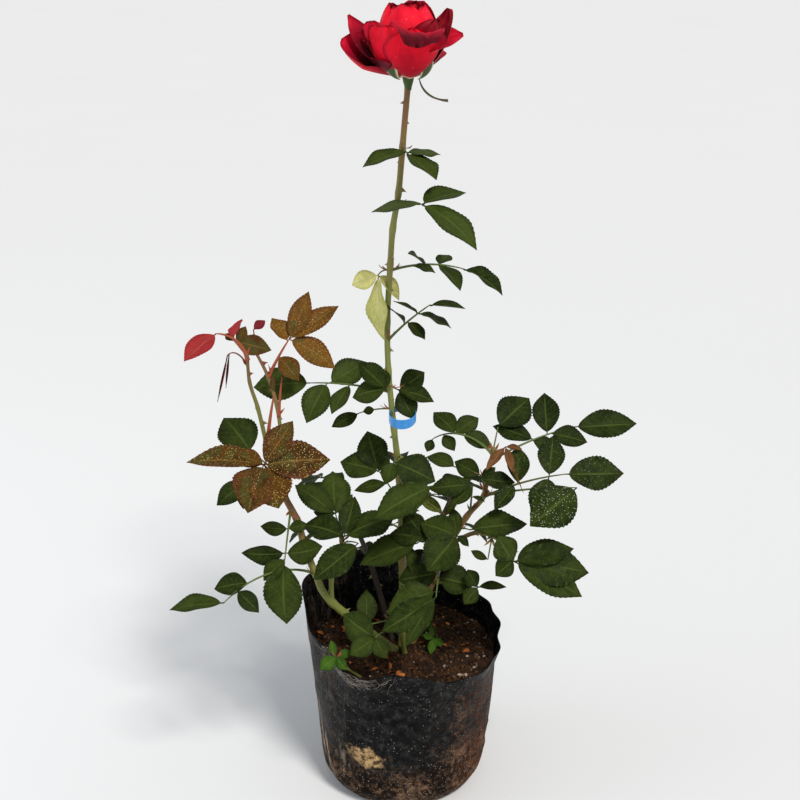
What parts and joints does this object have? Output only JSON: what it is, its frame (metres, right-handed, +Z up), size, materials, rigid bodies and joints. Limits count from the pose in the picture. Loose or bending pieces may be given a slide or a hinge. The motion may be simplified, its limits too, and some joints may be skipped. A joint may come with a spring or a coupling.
{
  "type": "potted rose bush",
  "caption": "Young rose bush with one open crimson bloom, compound green and bronze leaves on prickly canes, growing from soil in a creased black polythene grow bag.",
  "frame": {"origin": "centre of the flat underside of the grow bag", "axes": "+Z up from the ground the bag stands on, +X to the right and -Y towards the front, where the soil's open side and the flat faces of most leaves look"},
  "size_m": [0.3845, 0.232, 0.6568],
  "materials": {
    "bag_film": "creased black polythene, satin where clean and dull where muddy",
    "potting_soil": "rough moist red-brown soil with grit",
    "cane_bark": "smooth olive green bark with prickles",
    "young_cane": "smooth reddish young bark",
    "green_hip": "matte green",
    "petal": "velvety crimson",
    "band_plastic": "glossy blue plastic strip",
    "green_leaf": "semi-glossy dark green",
    "bronze_leaf": "satin bronze brown",
    "red_leaf": "satin red",
    "yellow_leaf": "matte yellow green"
  },
  "bodies": {
    "root": {"flower_cane": "cane_bark", "left_cane": "cane_bark", "bronze_shoot_a": "young_cane", "bronze_shoot_b": "young_cane", "left_side_shoot": "cane_bark", "right_cane": "cane_bark", "right_low_shoot": "cane_bark", "front_shoot": "cane_bark", "back_cane": "cane_bark", "back_left_cane": "cane_bark", "back_right_cane": "cane_bark", "grow_bag": "bag_film", "soil": "potting_soil", "hip": "green_hip", "bloom": "petal", "tie_band": "band_plastic", "top_front": "green_leaf", "upper_right": "green_leaf", "middle_right": "green_leaf", "yellow": "yellow_leaf", "edge_right": "green_leaf", "long_left": "green_leaf", "knot_left": "green_leaf", "knot_right": "green_leaf", "mid_up": "green_leaf", "low_front": "green_leaf", "centre_front": "green_leaf", "centre_low": "green_leaf", "young_red": "red_leaf", "bronze_top": "bronze_leaf", "rosette": "bronze_leaf", "behind_rosette": "green_leaf", "behind_low": "green_leaf", "left_hanging": "green_leaf", "far_left": "green_leaf", "mid_left": "green_leaf", "mid_left_up": "green_leaf", "mid_front": "green_leaf", "front_left": "green_leaf", "front_mid": "green_leaf", "right_top": "green_leaf", "right_inner": "green_leaf", "right_second": "green_leaf", "right_speckled": "green_leaf", "right_far": "green_leaf", "right_behind": "green_leaf", "right_under": "green_leaf", "centre_right": "green_leaf", "big_folded": "green_leaf", "rear_a": "green_leaf", "rear_b": "green_leaf", "rear_c": "green_leaf", "rear_d": "green_leaf", "rear_e": "green_leaf", "rear_f": "green_leaf", "rear_g": "green_leaf", "rear_h": "green_leaf", "rear_i": "green_leaf", "rear_j": "green_leaf"}
  },
  "joints": []
}
